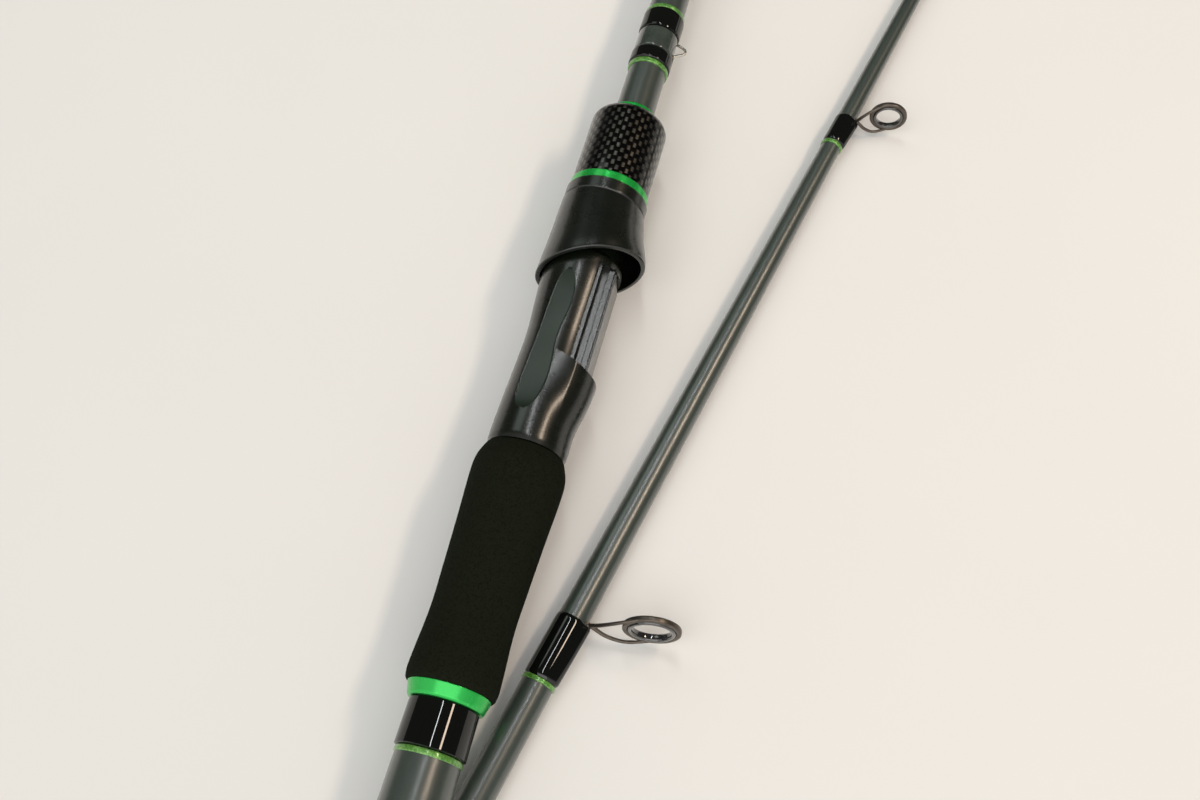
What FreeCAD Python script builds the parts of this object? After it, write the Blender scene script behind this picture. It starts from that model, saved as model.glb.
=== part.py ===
import FreeCAD, Part
import math
import os
from FreeCAD import Placement, Rotation, Vector

# Two-piece spinning rod, taken apart: the butt section (handle, reel seat, two guides) and the
# tip section (seven guides and the tip-top) lie side by side on a table.  Millimetres, +Z up.
# Each section is drawn in its own frame: +Y runs from butt to tip along the axis, +X is the
# side that carries the reel and the guides, +Z is across.  The butt section stays in that frame,
# so the origin is the centre of the butt's end face, and placed_tip() lays the tip section
# beside it on the same table.

# ---------------------------------------------------------------- driving dimensions
BUTT_LENGTH = 1080.0
TIP_LENGTH = 1045.0
FERRULE_LENGTH = 60.0
FERRULE_RADIUS = 4.05
FERRULE_GAP = 0.04

TABLE_Z = -18.0              # the table, one butt-grip radius below the butt section's axis
TIP_START_Z = TABLE_Z + 5.3  # tip-section axis: its ferrule winding lies on the table
TIP_YAW = 12.47              # the tip section lies this many degrees clockwise of the butt section
TIP_ROLL = 15.0              # its guides point this many degrees above the table
TIP_START_X = 7.41
TIP_START_Y = 168.6

BLANK_WALL = 1.1
BUTT_BLANK = [(6.0, 8.85), (185.0, 8.85), (190.0, 8.8), (410.0, 6.02), (1010.0, 4.5)]
TIP_BLANK = [(0.0, 5.0), (100.0, 4.1), (317.0, 2.7), (600.0, 1.9), (1040.0, 0.95)]

# stations along the butt section
GRIP_END = 100.0
REAR_BAND = 196.0
REAR_WRAP = 197.6
REAR_RING = 210.2
REAR_GRIP = 214.0
SEAT_START = 282.0
FIXED_MOUTH = 306.3          # mouth of the fixed hood, on the reel side
FIXED_MOUTH_SLOPE = 0.42     # that mouth runs forward towards the palm side
HOOD_MOUTH = 342.7
HOOD_FRONT = 364.7
NUT_LIP_FRONT = 368.8
NUT_RING_FRONT = 371.6
SLEEVE_SHOULDER = 395.2
SLEEVE_FRONT = 398.8
NOSE_FRONT = 401.6
BARREL_FRONT = 390.5
KEEPER_START = 418.5

# reel seat
SEAT_BORE = 8.2
BARREL_RADIUS = 10.0
PLATFORM_X = 10.6
PLATFORM_HALF_WIDTH = 7.2
PLATFORM_FRONT = 341.8
PAD_START = 312.0
SEAT_NECK = 344.0            # the palm body steps down to the barrel here
HOOD_OFFSET = 1.9
HOOD_MOUTH_RADIUS = 15.3
HOOD_NECK_RADIUS = 12.7
HOOD_WALL = 1.6
MOUTH_SLOPE = 0.366          # the moving hood's mouth leans: its palm side reaches further back
KEY_WIDTH = 4.0

# guides: name, leg root along the section, height of ring centre, outer ring radius, winding length
STRIPPERS = [("stripper_1", 655.0, 37.0, 18.0, 16.0), ("stripper_2", 905.0, 26.0, 12.4, 14.0)]
TIP_GUIDES = [
    ("tip_guide_1", 77.5, 21.5, 8.0, 19.0),
    ("tip_guide_2", 265.3, 12.4, 5.9, 11.5),
    ("tip_guide_3", 434.0, 9.8, 4.9, 10.5),
    ("tip_guide_4", 584.0, 8.4, 4.4, 10.0),
    ("tip_guide_5", 717.0, 7.4, 4.0, 9.5),
    ("tip_guide_6", 837.0, 6.8, 3.8, 9.0),
    ("tip_guide_7", 947.0, 6.2, 3.6, 9.0),
]
GUIDE_LEAN = 20.6            # the rings lean towards the tip
REAR_FOOT_REACH = 0.75       # a stripper's rear foot stands this share of its height further back
WRAP_THICKNESS = 0.35

Y_AXIS = Vector(0, 1, 0)
ORIGIN = Vector(0, 0, 0)


# ---------------------------------------------------------------- small helpers
def turned(points):
    """A solid of revolution about the section's axis from (y, radius) points."""
    corners = [Vector(r, y, 0) for y, r in points]
    face = Part.Face(Part.makePolygon(corners + corners[:1]))
    return face.revolve(ORIGIN, Y_AXIS, 360)


def tube(start, end, inner, outer):
    return turned([(start, inner), (start, outer), (end, outer), (end, inner)])


def rod(start, end, radius):
    return Part.makeCylinder(radius, end - start, Vector(0, start, 0), Y_AXIS)


def block(x0, x1, y0, y1, z0, z1):
    return Part.makeBox(x1 - x0, y1 - y0, z1 - z0, Vector(x0, y0, z0))


def radius_at(profile, y):
    """Outer radius of a blank at station y."""
    for (y0, r0), (y1, r1) in zip(profile, profile[1:]):
        if y <= y1:
            return r0 + (r1 - r0) * (y - y0) / (y1 - y0)
    return profile[-1][1]


def smooth_turned(rim, inner_start, inner_end):
    """A turned solid whose outline is one smooth curve through the (y, radius) points of rim."""
    curve = Part.BSplineCurve()
    curve.interpolate([Vector(r, y, 0) for y, r in rim])
    first, last = rim[0], rim[-1]
    bottom = [Vector(last[1], last[0], 0), Vector(inner_end, last[0], 0),
              Vector(inner_start, first[0], 0), Vector(first[1], first[0], 0)]
    edges = [curve.toShape()] + [Part.makeLine(a, b) for a, b in zip(bottom, bottom[1:])]
    return Part.Face(Part.Wire(edges)).revolve(ORIGIN, Y_AXIS, 360)


def circle(x, y, radius):
    return Part.Wire(Part.Circle(Vector(x, y, 0), Y_AXIS, radius).toShape())


def only_solids(shape):
    """The shape as one solid, or as a compound of its separate solids."""
    solids = shape.Solids
    return solids[0] if len(solids) == 1 else Part.makeCompound(solids)


def tip_placement():
    roll = Rotation(Y_AXIS, -TIP_ROLL)
    yaw = Rotation(Vector(0, 0, 1), -TIP_YAW)
    return Placement(Vector(TIP_START_X, TIP_START_Y, TIP_START_Z), yaw.multiply(roll))


def placed_tip(shape):
    return only_solids(shape).transformed(tip_placement().toMatrix())


def save(name, shape):
    shape.exportStep("parts/%s.step" % name)
    print("%-24s solids %d volume %9.1f valid %s"
          % (name, len(shape.Solids), shape.Volume, shape.isValid()))


# ---------------------------------------------------------------- blanks
def butt_blank_outside():
    shoulder = BUTT_LENGTH - FERRULE_LENGTH
    rim = BUTT_BLANK + [(shoulder, 4.45), (shoulder, FERRULE_RADIUS), (BUTT_LENGTH, FERRULE_RADIUS)]
    return turned([(rim[0][0], 0)] + rim + [(BUTT_LENGTH, 0)])


def butt_blank():
    """Hollow tapered tube that ends in the straight male ferrule."""
    start = BUTT_BLANK[0][0]
    bore = [(y, r - BLANK_WALL) for y, r in BUTT_BLANK] + [(BUTT_LENGTH, FERRULE_RADIUS - BLANK_WALL)]
    return butt_blank_outside().cut(turned([(start, 0)] + bore + [(BUTT_LENGTH, 0)]))


def tip_blank_outside():
    return turned([(0, 0)] + TIP_BLANK + [(TIP_BLANK[-1][0], 0)])


def tip_blank():
    """Tapered tube: straight female ferrule first, then hollow up to where it turns solid."""
    socket = rod(0, FERRULE_LENGTH, FERRULE_RADIUS + FERRULE_GAP)
    hollow_end = 700.0
    hollow = turned([(FERRULE_LENGTH, 0), (FERRULE_LENGTH, 3.2), (317, 1.8), (hollow_end, 0.9),
                     (hollow_end, 0)])
    return tip_blank_outside().cut(socket).cut(hollow)


# ---------------------------------------------------------------- handle
def butt_cap():
    """Rubber cap that closes the butt; the blank's end sits in it."""
    outline = [(0, 0), (0, 13.0), (1.2, 15.2), (3.5, 16.4), (14.0, 16.8), (14.0, 0)]
    return turned(outline).cut(BUTT_OUTSIDE)


def butt_grip():
    """Foam knob at the butt, full where it meets the palm and slim at its front."""
    rim = [(14.0, 17.2), (24.0, 18.0), (42.0, 17.0), (62.0, 14.9), (82.0, 13.6), (97.0, 13.0)]
    return smooth_turned(rim, 5.0, 5.0).cut(BUTT_OUTSIDE)


def butt_grip_ring():
    outline = [(97.0, 5.0), (97.0, 12.2), (GRIP_END, 10.9), (GRIP_END, 5.0)]
    return turned(outline).cut(BUTT_OUTSIDE)


def winding(start, end, thickness, outside, profile):
    """A thread winding of even thickness round a tapered blank."""
    r0 = radius_at(profile, start) + thickness
    r1 = radius_at(profile, end) + thickness
    return turned([(start, 0), (start, r0), (end, r1), (end, 0)]).cut(outside)


def butt_winding(start, end, thickness=WRAP_THICKNESS):
    return winding(start, end, thickness, BUTT_OUTSIDE, BUTT_BLANK)


def tip_winding(start, end, thickness=WRAP_THICKNESS):
    return winding(start, end, thickness, TIP_OUTSIDE, TIP_BLANK)


def rear_grip_ring():
    outline = [(REAR_RING, 5.0), (REAR_RING, 9.9), (REAR_RING + 0.5, 10.3),
               (REAR_GRIP, 11.2), (REAR_GRIP, 5.0)]
    return turned(outline).cut(BUTT_OUTSIDE)


def rear_grip():
    """Foam grip behind the reel: flared rear, slim waist, full front with a rounded shoulder."""
    rim = [(REAR_GRIP, 11.9), (217.0, 12.35), (233.5, 11.55), (246.0, 11.9), (259.0, 12.4),
           (272.8, 13.05), (277.5, 12.8), (SEAT_START, 11.2)]
    return smooth_turned(rim, 5.0, 5.0).cut(BUTT_OUTSIDE)


# ---------------------------------------------------------------- reel seat
def seat_outside():
    """Palm body, waisted under the fingers, running into the threaded barrel."""
    rim = [(SEAT_START, 10.9), (284.0, 11.3), (294.0, 11.1), (306.0, 10.6), (318.0, 10.3),
           (329.0, 11.0), (338.0, 11.5), (SEAT_NECK, 11.3)]
    body = smooth_turned(rim, 0.0, 0.0)
    neck = turned([(SEAT_NECK, 0), (SEAT_NECK, 11.3), (SEAT_NECK + 1.6, BARREL_RADIUS),
                   (BARREL_FRONT, BARREL_RADIUS), (BARREL_FRONT, 0)])
    return body.fuse(neck)


def fixed_hood():
    """Swelling on the reel side whose mouth takes the rear end of the reel foot."""
    stations = [(284.0, 0.0, 11.0), (292.0, 0.3, 11.0), (300.0, 1.7, 11.1), (306.5, 2.4, 11.1),
                (312.0, 2.2, 11.1)]
    swelling = Part.makeLoft([circle(x, y, r) for y, x, r in stations], True, False)
    reach = 40.0
    mouth = block(-reach, reach, 0, reach, -reach, reach)
    slope = -math.degrees(math.atan(FIXED_MOUTH_SLOPE))
    mouth.Placement = Placement(Vector(13.0, FIXED_MOUTH, 0), Rotation(Vector(0, 0, 1), slope))
    return swelling.cut(mouth)


def platform():
    """Bar on the reel side with the pad that the reel foot sits on."""
    width = PLATFORM_HALF_WIDTH
    bar = block(6.0, PLATFORM_X - 0.2, 297.0, PLATFORM_FRONT, -width, width)
    pad = block(6.0, PLATFORM_X, PAD_START, PLATFORM_FRONT, -width + 0.6, width - 0.6)
    return bar.fuse(pad)


def reel_seat():
    """Body, fixed hood, platform between a groove and a ledge on each side, and barrel."""
    side = 16.0
    groove = block(6.6, 8.3, 311.0, PLATFORM_FRONT, -side, side)
    core = block(5.0, 9.0, 300.0, PLATFORM_FRONT + 4, -PLATFORM_HALF_WIDTH + 1, PLATFORM_HALF_WIDTH - 1)
    ledge = block(5.2, 8.3, 311.0, PLATFORM_FRONT, 9.0, side)
    shoulder = block(8.3, 20.0, 311.0, PLATFORM_FRONT, PLATFORM_HALF_WIDTH, side)
    front = block(PLATFORM_X - 0.2, 20.0, 300.0, BARREL_FRONT, -side, side)
    pocket_roof = Part.makeCylinder(12.6, 30.0, Vector(0, 296.0, 0), Y_AXIS)
    pocket = block(PLATFORM_X - 0.2, 20.0, 297.0, 325.0, -8.0, 8.0).common(pocket_roof)
    body = seat_outside().cut(groove.cut(core)).cut(front)
    for edge in (ledge, shoulder):
        body = body.cut(edge).cut(edge.mirror(ORIGIN, Vector(0, 0, 1)))
    body = body.fuse(fixed_hood()).cut(pocket).fuse(platform())
    keyway = block(-12.0, -BARREL_RADIUS + 1.0, 349.0, BARREL_FRONT, -KEY_WIDTH / 2, KEY_WIDTH / 2)
    return body.cut(keyway).cut(rod(SEAT_START, BARREL_FRONT, SEAT_BORE)).removeSplitter()


def seat_arbors():
    """Bushes that centre the seat on the thinner blank."""
    spans = [(286.0, 300.0), (316.0, 330.0), (346.0, 360.0), (374.0, 388.0)]
    rings = [rod(a, b, SEAT_BORE).cut(BUTT_OUTSIDE) for a, b in spans]
    return Part.makeCompound(rings)


def leaning_mouth(shape):
    """Cuts the hood's mouth on a slant."""
    reach = 60.0
    behind = block(-reach, reach, -reach, 0, -reach, reach)
    angle = math.degrees(math.atan(MOUTH_SLOPE))
    behind.Placement = Placement(Vector(HOOD_OFFSET, HOOD_MOUTH, 0), Rotation(Vector(0, 0, 1), angle))
    return shape.cut(behind)


def moving_hood():
    """Cup that slides over the barrel and the front end of the reel foot."""
    back = HOOD_MOUTH - 8.0
    outer = [(back, HOOD_OFFSET, HOOD_MOUTH_RADIUS), (348.0, 1.8, 14.9), (356.0, 1.0, 13.8),
             (HOOD_FRONT, 0.0, HOOD_NECK_RADIUS)]
    inner = [(back - 1, HOOD_OFFSET + 0.2, HOOD_MOUTH_RADIUS - HOOD_WALL), (348.0, 2.1, 13.3),
             (355.0, 1.5, 12.1), (361.0, 0.5, 11.1)]
    cup = Part.makeLoft([circle(x, y, r) for y, x, r in outer], True, False)
    cavity = Part.makeLoft([circle(x, y, r) for y, x, r in inner], True, False)
    bore = rod(back, HOOD_FRONT, BARREL_RADIUS + 0.15).fuse(rod(back - 1, 351.0, 12.0))
    key = block(-BARREL_RADIUS - 0.6, -BARREL_RADIUS + 0.6, 361.0, HOOD_FRONT, -KEY_WIDTH / 2 + 0.2,
                KEY_WIDTH / 2 - 0.2)
    key_clear = key.cut(rod(360.0, HOOD_FRONT, BARREL_RADIUS - 0.8))
    return leaning_mouth(cup.cut(cavity).cut(bore)).fuse(key_clear).removeSplitter()


def lock_nut():
    """Turning nut: a gripping lip at the hood, then the threaded tube that carries the sleeve."""
    bore = BARREL_RADIUS + 0.25
    start = HOOD_FRONT + 0.05
    outline = [(start, bore), (start, 12.3), (start + 0.4, 12.6), (NUT_LIP_FRONT, 12.6),
               (NUT_LIP_FRONT, 11.1), (SLEEVE_SHOULDER, 11.1), (SLEEVE_SHOULDER, bore)]
    return turned(outline)


def nut_trim_ring():
    return tube(NUT_LIP_FRONT, NUT_RING_FRONT, 11.1, 12.15)


def carbon_sleeve():
    """Woven-carbon sleeve with a rounded front, bonded to the nut's tube."""
    outer, tube_outer, face_outer, inner = 11.85, 11.1, 7.5, 6.9
    part_way = math.sin(math.radians(45))
    crown = Vector(face_outer + (outer - face_outer) * part_way,
                   SLEEVE_SHOULDER + (SLEEVE_FRONT - SLEEVE_SHOULDER) * part_way, 0)
    dome = Part.Arc(Vector(outer, SLEEVE_SHOULDER, 0), crown,
                    Vector(face_outer, SLEEVE_FRONT, 0)).toShape()
    path = [Vector(face_outer, SLEEVE_FRONT, 0), Vector(inner, SLEEVE_FRONT, 0),
            Vector(inner, SLEEVE_FRONT - 1.2, 0), Vector(10.2, SLEEVE_SHOULDER + 0.6, 0),
            Vector(tube_outer, SLEEVE_SHOULDER, 0), Vector(tube_outer, NUT_RING_FRONT, 0),
            Vector(outer, NUT_RING_FRONT, 0), Vector(outer, SLEEVE_SHOULDER, 0)]
    edges = [dome] + [Part.makeLine(a, b) for a, b in zip(path, path[1:])]
    return Part.Face(Part.Wire(edges)).revolve(ORIGIN, Y_AXIS, 360)


def nose_ring():
    inner, outer = 6.5, 7.15
    return turned([(SLEEVE_FRONT, inner), (SLEEVE_FRONT, outer), (NOSE_FRONT - 0.4, outer),
                   (NOSE_FRONT, outer - 0.3), (NOSE_FRONT, inner)])


# ---------------------------------------------------------------- hook keeper
def bent_wire(points, radius):
    """A round wire along one smooth curve."""
    curve = Part.BSplineCurve()
    curve.interpolate(points)
    spine = Part.Wire(curve.toShape())
    start = Part.Wire(Part.Circle(points[0], curve.tangent(curve.FirstParameter)[0], radius).toShape())
    return spine.makePipeShell([start], True, True)


def rounded_path(points, bend):
    """Straight runs joined by tangent arcs of one radius."""
    edges = []
    start = points[0]
    for before, corner, after in zip(points, points[1:], points[2:]):
        back = (before - corner).normalize()
        ahead = (after - corner).normalize()
        half = back.getAngle(ahead) / 2
        inward = (back + ahead).normalize()
        crown = corner + inward * (bend / math.sin(half) - bend)
        arc_start = corner + back * (bend / math.tan(half))
        arc_end = corner + ahead * (bend / math.tan(half))
        edges.append(Part.makeLine(start, arc_start))
        edges.append(Part.Arc(arc_start, crown, arc_end).toShape())
        start = arc_end
    edges.append(Part.makeLine(start, points[-1]))
    return Part.Wire(edges)


def hook_keeper():
    """Small wire eye for the hook, its two feet bound to the blank by the keeper windings."""
    foot = 6.45
    wire = 0.42
    eye = 3.2
    rear, front = KEEPER_START + 2.5, KEEPER_START + 21.0
    rise, fall = KEEPER_START + 8.7, KEEPER_START + 13.8
    points = [Vector(foot, rear, 0), Vector(foot, rise, 0), Vector(foot + eye, rise + 1.9, 0),
              Vector(foot + eye, rise + 3.6, 0), Vector(foot, fall, 0), Vector(foot, front, 0)]
    section = Part.Wire(Part.Circle(points[0], Y_AXIS, wire).toShape())
    return rounded_path(points, 0.8).makePipeShell([section], True, True)


def keeper_windings(keeper):
    spans = [(KEEPER_START + 1.7, KEEPER_START + 6.7), (KEEPER_START + 14.9, KEEPER_START + 22.6)]
    bands = [butt_winding(a, b, 0.75).cut(keeper) for a, b in spans]
    return Part.makeCompound([solid for band in bands for solid in band.Solids])


def keeper_bands():
    spans = [(KEEPER_START, KEEPER_START + 1.7), (KEEPER_START + 22.6, KEEPER_START + 24.2)]
    return Part.makeCompound([butt_winding(a, b, 0.5) for a, b in spans])


def keeper_coat(keeper):
    """Clear resin over the blank between the keeper windings."""
    return butt_winding(KEEPER_START + 6.7, KEEPER_START + 14.9, 0.5).cut(keeper)


# ---------------------------------------------------------------- guides
def ring_placement(y, height):
    """Place of a guide ring: its outer end leans towards the tip."""
    return Placement(Vector(height, y, 0), Rotation(Vector(0, 0, 1), GUIDE_LEAN))


def ring_profile(outer, inner, half_depth, rounding):
    """A ring about +Y with rounded edges."""
    ring = tube(-half_depth, half_depth, inner, outer)
    return ring.makeFillet(rounding, ring.Edges)


def guide_sizes(outer):
    """Rim width, rim half depth and leg radius of a guide whose ring has this outer radius."""
    return 0.55 + 0.11 * outer, 0.45 + 0.05 * outer, 0.35 + 0.03 * outer


def guide_rim(y, height, outer):
    rim, half_depth, leg = guide_sizes(outer)
    ring = ring_profile(outer, outer - rim, half_depth, min(rim, half_depth) * 0.45)
    ring.Placement = ring_placement(y, height)
    return ring


def guide_insert(y, height, outer):
    """Hard ceramic ring that the line runs through."""
    rim, half_depth, leg = guide_sizes(outer)
    insert_width = 0.3 + 0.13 * outer
    outside = outer - rim
    depth = half_depth + 0.25
    ring = ring_profile(outside, outside - insert_width, depth, min(insert_width, depth) * 0.45)
    ring.Placement = ring_placement(y, height)
    return ring


def side_leg(root_y, root_x, ring_y, height, outer, side):
    """One leg: from the foot on the blank out to the flank of the ring, bowed a little."""
    rim, half_depth, leg = guide_sizes(outer)
    flank = outer - leg
    rise = height - root_x
    points = [
        Vector(root_x, root_y, side * leg * 1.05),
        Vector(root_x + 0.28 * rise, root_y + 0.02 * (ring_y - root_y), side * flank * 0.52),
        Vector(root_x + 0.58 * rise, root_y + 0.30 * (ring_y - root_y), side * flank * 0.88),
        Vector(height, ring_y, side * flank),
    ]
    return bent_wire(points, leg)


def guide_sole(root_y, length, leg, profile):
    """Flat foot under the legs that tapers away from them, towards the butt."""
    root_x = radius_at(profile, root_y)
    base = root_x - 1.2
    top = root_x + 1.5 * leg
    thin = root_x + 0.5 * leg
    near = root_y + leg
    far = near - length
    width = 3.2 * leg
    outline = [Vector(base, near, 0), Vector(top, near, 0), Vector(thin, far, 0),
               Vector(base, far, 0)]
    face = Part.Face(Part.makePolygon(outline + outline[:1]))
    wedge = face.extrude(Vector(0, 0, width))
    wedge.translate(Vector(0, 0, -width / 2))
    return wedge


def single_foot_guide(root_y, height, outer, sole_length, profile, outside):
    """Frame with one foot on the butt side, two legs and a leaning rim."""
    root_x = radius_at(profile, root_y)
    ring_y = root_y + 3.7 + 0.088 * height
    rim, half_depth, leg = guide_sizes(outer)
    frame = guide_rim(ring_y, height, outer)
    for side in (1, -1):
        frame = frame.fuse(side_leg(root_y, root_x + leg * 0.8, ring_y, height, outer, side))
    frame = frame.fuse(guide_sole(root_y, sole_length, leg, profile)).cut(outside)
    return only_solids(frame), ring_y


def double_foot_guide(root_y, height, outer, sole_length, profile, outside):
    """Larger frame: the two side legs stand on a front foot, two braces on a rear foot."""
    frame, ring_y = single_foot_guide(root_y, height, outer, sole_length, profile, outside)
    rim, half_depth, leg = guide_sizes(outer)
    rear_y = root_y - REAR_FOOT_REACH * height
    rear_x = radius_at(profile, rear_y)
    lean = math.radians(GUIDE_LEAN)
    spread = 0.42 * outer
    drop = math.sqrt((outer - rim / 2) ** 2 - spread ** 2)
    low_x = height - drop * math.cos(lean)
    low_y = ring_y - drop * math.sin(lean)
    for side in (1, -1):
        points = [Vector(rear_x + leg * 0.8, rear_y, side * leg),
                  Vector((rear_x + low_x) / 2 - 1.0, (rear_y + low_y) / 2 - 1.0, side * spread * 0.6),
                  Vector(low_x, low_y, side * spread)]
        frame = frame.fuse(bent_wire(points, leg * 0.9))
    frame = frame.fuse(guide_sole(rear_y, sole_length, leg, profile)).cut(outside)
    return only_solids(frame), ring_y


def foot_winding(start, end, leg, sole, profile, outside):
    """Black winding over a guide foot: thin underneath, raised over the foot."""
    lift = 0.45
    ends = [circle(lift, start, radius_at(profile, start) + 0.56),
            circle(lift, end, radius_at(profile, end) + 1.5 * leg - 0.08)]
    return largest(Part.makeLoft(ends, True, True).cut(outside).cut(sole))


def largest(shape):
    return max(shape.Solids, key=lambda solid: solid.Volume)


def build_guides(guides, double, profile, outside, winding_function):
    """Frames, inserts, windings and trim bands of one section's guides, in section coordinates."""
    frames, inserts, wraps, bands = [], [], [], []
    for name, root_y, height, outer, wrap_length in guides:
        maker = double_foot_guide if double else single_foot_guide
        frame, ring_y = maker(root_y, height, outer, wrap_length - 2.5, profile, outside)
        frames.append((name + "_frame", frame))
        inserts.append((name + "_ring", guide_insert(ring_y, height, outer)))
        ends = [root_y]
        if double:
            ends.append(root_y - REAR_FOOT_REACH * height)
        leg = guide_sizes(outer)[2]
        for end in ends:
            start = end - wrap_length
            sole = guide_sole(end, wrap_length - 2.5, leg, profile)
            wraps.append(foot_winding(start, end - leg, leg, sole, profile, outside))
            bands.append(winding_function(start - 1.4, start, 0.4))
    return frames, inserts, wraps, bands


def tip_top():
    """Tube over the blank's end, with a small leaning ring held by two stays."""
    end = TIP_BLANK[-1][0]
    outer, height, ring_y = 3.4, 3.3, TIP_LENGTH - 1.0
    barrel = tube(end - 9.0, end, 0.9, 1.55).cut(TIP_OUTSIDE)
    barrel = barrel.fuse(rod(end, end + 1.2, 1.55))
    frame = guide_rim(ring_y, height, outer)
    for side in (1, -1):
        points = [Vector(0.9, end - 7.0, side * 1.2), Vector(1.3, end - 2.0, side * 2.2),
                  Vector(height, ring_y, side * (outer - 0.4))]
        frame = frame.fuse(bent_wire(points, 0.45))
    frame = frame.fuse(barrel).cut(TIP_OUTSIDE)
    return largest(frame), guide_insert(ring_y, height, outer)


# ---------------------------------------------------------------- whole rod
def butt_section():
    keeper = hook_keeper()
    pieces = {
        "butt_cap": butt_cap(),
        "butt_grip": butt_grip(),
        "butt_grip_ring": butt_grip_ring(),
        "butt_blank": butt_blank(),
        "rear_trim_band": butt_winding(REAR_BAND, REAR_WRAP, 0.3),
        "rear_winding": butt_winding(REAR_WRAP, REAR_RING, 0.55),
        "rear_grip_ring": rear_grip_ring(),
        "rear_grip": rear_grip(),
        "reel_seat_body": reel_seat(),
        "seat_arbors": seat_arbors(),
        "moving_hood": moving_hood(),
        "lock_nut": lock_nut(),
        "nut_trim_ring": nut_trim_ring(),
        "carbon_sleeve": carbon_sleeve(),
        "nose_ring": nose_ring(),
        "hook_keeper": keeper,
        "keeper_windings": keeper_windings(keeper),
        "keeper_trim_bands": keeper_bands(),
        "keeper_coat": keeper_coat(keeper),
        "male_ferrule_winding": butt_winding(1004.0, 1019.0),
        "male_ferrule_band": butt_winding(1002.0, 1004.0, 0.4),
    }
    frames, inserts, wraps, bands = build_guides(STRIPPERS, True, BUTT_BLANK, BUTT_OUTSIDE,
                                                 butt_winding)
    pieces.update(frames + inserts)
    pieces["stripper_windings"] = Part.makeCompound(wraps)
    pieces["stripper_trim_bands"] = Part.makeCompound(bands)
    return pieces


def tip_section():
    frame, insert = tip_top()
    pieces = {
        "tip_blank": tip_blank(),
        "female_ferrule_winding": tip_winding(0.5, 14.0, 0.3),
        "female_ferrule_band": tip_winding(14.0, 15.6, 0.3),
        "tip_top_frame": frame,
        "tip_top_ring": insert,
        "tip_top_winding": tip_winding(1014.0, TIP_BLANK[-1][0] - 9.0, 0.3),
    }
    frames, inserts, wraps, bands = build_guides(TIP_GUIDES, False, TIP_BLANK, TIP_OUTSIDE,
                                                 tip_winding)
    pieces.update(frames + inserts)
    pieces["tip_guide_windings"] = Part.makeCompound(wraps)
    pieces["tip_guide_trim_bands"] = Part.makeCompound(bands)
    return pieces


BUTT_OUTSIDE = butt_blank_outside()
TIP_OUTSIDE = tip_blank_outside()
os.makedirs("parts", exist_ok=True)
for piece_name, piece in butt_section().items():
    save(piece_name, only_solids(piece))
for piece_name, piece in tip_section().items():
    save(piece_name, placed_tip(piece))
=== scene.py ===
import bmesh
import bpy
import math
from mathutils import Matrix, Vector


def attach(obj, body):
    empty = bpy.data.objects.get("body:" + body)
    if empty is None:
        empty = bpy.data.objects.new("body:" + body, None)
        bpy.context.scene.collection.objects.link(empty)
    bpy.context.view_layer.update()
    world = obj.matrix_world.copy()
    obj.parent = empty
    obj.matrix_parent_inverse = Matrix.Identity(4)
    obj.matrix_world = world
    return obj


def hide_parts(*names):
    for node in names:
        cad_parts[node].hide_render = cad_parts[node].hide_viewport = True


# Two-piece spinning rod.  Every piece is drawn in its own section's frame in millimetres: +Y along
# the axis from butt to tip, +X on the side of the reel and guides, +Z across.  A place matrix then
# takes it to the row frame, in metres.
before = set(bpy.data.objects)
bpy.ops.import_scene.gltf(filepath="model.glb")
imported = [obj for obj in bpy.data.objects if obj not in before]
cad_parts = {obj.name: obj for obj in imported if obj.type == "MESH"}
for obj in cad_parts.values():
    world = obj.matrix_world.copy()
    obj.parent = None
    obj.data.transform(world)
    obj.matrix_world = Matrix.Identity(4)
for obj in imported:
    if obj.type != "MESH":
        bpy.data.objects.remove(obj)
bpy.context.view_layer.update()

MM = 0.001
TURN = 2.0 * math.pi
TABLE_Z = -18.0

# section places
TIP_START = (7.41, 168.6, -12.7)
TIP_YAW = math.radians(-12.47)
TIP_ROLL = math.radians(-15.0)
TO_METRES = Matrix.Scale(MM, 4)
BUTT = TO_METRES
TIP = (TO_METRES @ Matrix.Translation(TIP_START) @ Matrix.Rotation(TIP_YAW, 4, "Z")
       @ Matrix.Rotation(TIP_ROLL, 4, "Y"))

# outlines (station along the section, radius)
BUTT_BLANK = [(6.0, 8.85), (185.0, 8.85), (190.0, 8.8), (410.0, 6.02), (1010.0, 4.5)]
TIP_BLANK_END = 1040.0
TIP_BLANK = [(0.0, 5.0), (100.0, 4.1), (317.0, 2.7), (600.0, 1.9), (TIP_BLANK_END, 0.95)]
BUTT_LENGTH = 1080.0
TIP_LENGTH = 1045.0
FERRULE_START = 1020.0
FERRULE_RADIUS = 4.05
SOCKET_DEPTH = 60.0
SEAT_START = 282.0
SEAT_NECK = 344.0
BARREL_FRONT = 390.5
BARREL_RADIUS = 10.0

# guides: name, station of the foot, height of the ring's middle, outer radius, winding length
GUIDE_LEAN = math.radians(20.6)
STRIPPERS = [("stripper_1", 655.0, 37.0, 18.0, 16.0), ("stripper_2", 905.0, 26.0, 12.4, 14.0)]
TIP_GUIDES = [
    ("tip_guide_1", 77.5, 21.5, 8.0, 19.0),
    ("tip_guide_2", 265.3, 12.4, 5.9, 11.5),
    ("tip_guide_3", 434.0, 9.8, 4.9, 10.5),
    ("tip_guide_4", 584.0, 8.4, 4.4, 10.0),
    ("tip_guide_5", 717.0, 7.4, 4.0, 9.5),
    ("tip_guide_6", 837.0, 6.8, 3.8, 9.0),
    ("tip_guide_7", 947.0, 6.2, 3.6, 9.0),
]
REAR_FOOT_REACH = 0.75       # a stripper's rear foot stands this share of its height behind the front


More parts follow.
